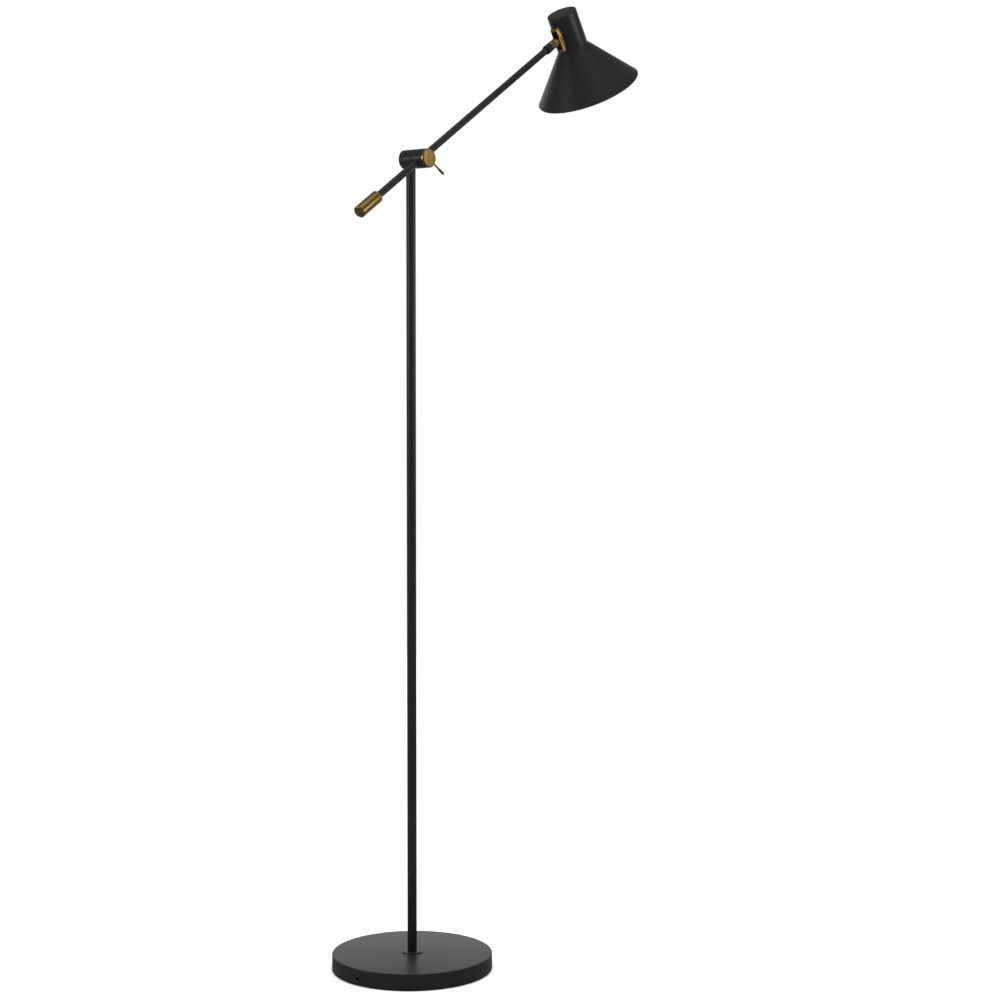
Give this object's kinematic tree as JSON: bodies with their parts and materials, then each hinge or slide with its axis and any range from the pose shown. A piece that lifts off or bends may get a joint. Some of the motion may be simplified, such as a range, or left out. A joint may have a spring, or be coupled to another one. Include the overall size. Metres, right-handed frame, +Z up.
{
  "type": "adjustable arm floor lamp",
  "caption": "Floor lamp with a round weighted base, a straight pole and a balanced arm clamped by a lever knob, with a cone shade on a swivelling, tilting knuckle.",
  "frame": {"origin": "centre of the base's underside, on the floor and on the pole's axis", "axes": "+Z up along the pole, +X the way the arm reaches, -Y the knob's side"},
  "size_m": [0.6564, 0.255, 1.5682],
  "materials": {
    "black_powder_coat": "satin black powder coat on steel",
    "aged_brass": "satin brass with a warm aged lacquer, finely turned",
    "bright_brass": "plain drawn brass",
    "plated_steel": "zinc plated steel",
    "black_oxide_steel": "black oxide on hardened steel",
    "cast_iron": "as cast grey iron",
    "felt": "pressed black felt",
    "fibre": "red vulcanised fibre",
    "phenolic": "moulded black phenolic",
    "lead_sheath": "soft black cable sheath",
    "opal_glass": "white opal glass"
  },
  "bodies": {
    "stand": {"floor_pad": "felt", "base_weight": "cast_iron", "base_cover": "black_powder_coat", "cord_bushing": "phenolic", "base_nut": "plated_steel", "base_washer": "plated_steel", "base_nipple": "plated_steel", "foot_flange": "black_powder_coat", "pole_plug": "plated_steel", "pole": "black_powder_coat", "pole_lead": "lead_sheath", "pivot_housing": "black_powder_coat", "housing_set_screw": "black_oxide_steel", "friction_washer": "fibre"},
    "arm": {"arm_hub": "black_powder_coat", "upper_arm": "black_powder_coat", "lower_arm": "black_powder_coat", "counterweight": "aged_brass", "weight_set_screw": "black_oxide_steel", "end_collar": "black_powder_coat", "swivel_sleeve": "aged_brass", "arm_lead": "lead_sheath"},
    "clamp": {"knob_washer": "black_oxide_steel", "clamp_screw": "plated_steel", "clamp_knob": "aged_brass", "knob_lever": "aged_brass"},
    "swivel": {"knuckle": "aged_brass", "swivel_nut": "plated_steel"},
    "head": {"tilt_bracket": "aged_brass", "hinge_pin": "aged_brass", "bracket_screws": "plated_steel", "cap_shell": "black_powder_coat", "shade_cone": "black_powder_coat", "shade_ring": "phenolic", "holder_strap": "plated_steel", "holder_nipple": "plated_steel", "holder_locknut": "plated_steel", "holder_body": "phenolic", "holder_shell": "bright_brass", "holder_contact": "bright_brass", "head_lead": "lead_sheath", "bulb_glass": "opal_glass", "bulb_cap": "plated_steel", "bulb_contact": "bright_brass"}
  },
  "joints": [
    {"name": "arm_tilt", "type": "hinge", "parent": "stand", "child": "arm", "pos_m": [0, -0.02145, 1.284], "axis": [0, -1, 0], "range_deg": [-80, 47]},
    {"name": "knob_turn", "type": "hinge", "parent": "stand", "child": "clamp", "pos_m": [0, -0.0355, 1.284], "axis": [0, -1, 0], "range_deg": [-30, 180]},
    {"name": "head_swivel", "type": "hinge", "parent": "arm", "child": "swivel", "pos_m": [0.35037, -0.02145, 1.50919], "axis": [0.8412, 0, 0.5407], "range_deg": [-160, 160]},
    {"name": "head_tilt", "type": "hinge", "parent": "swivel", "child": "head", "pos_m": [0.35037, -0.02145, 1.50919], "axis": [0, -1, 0], "range_deg": [-42, 42]}
  ]
}
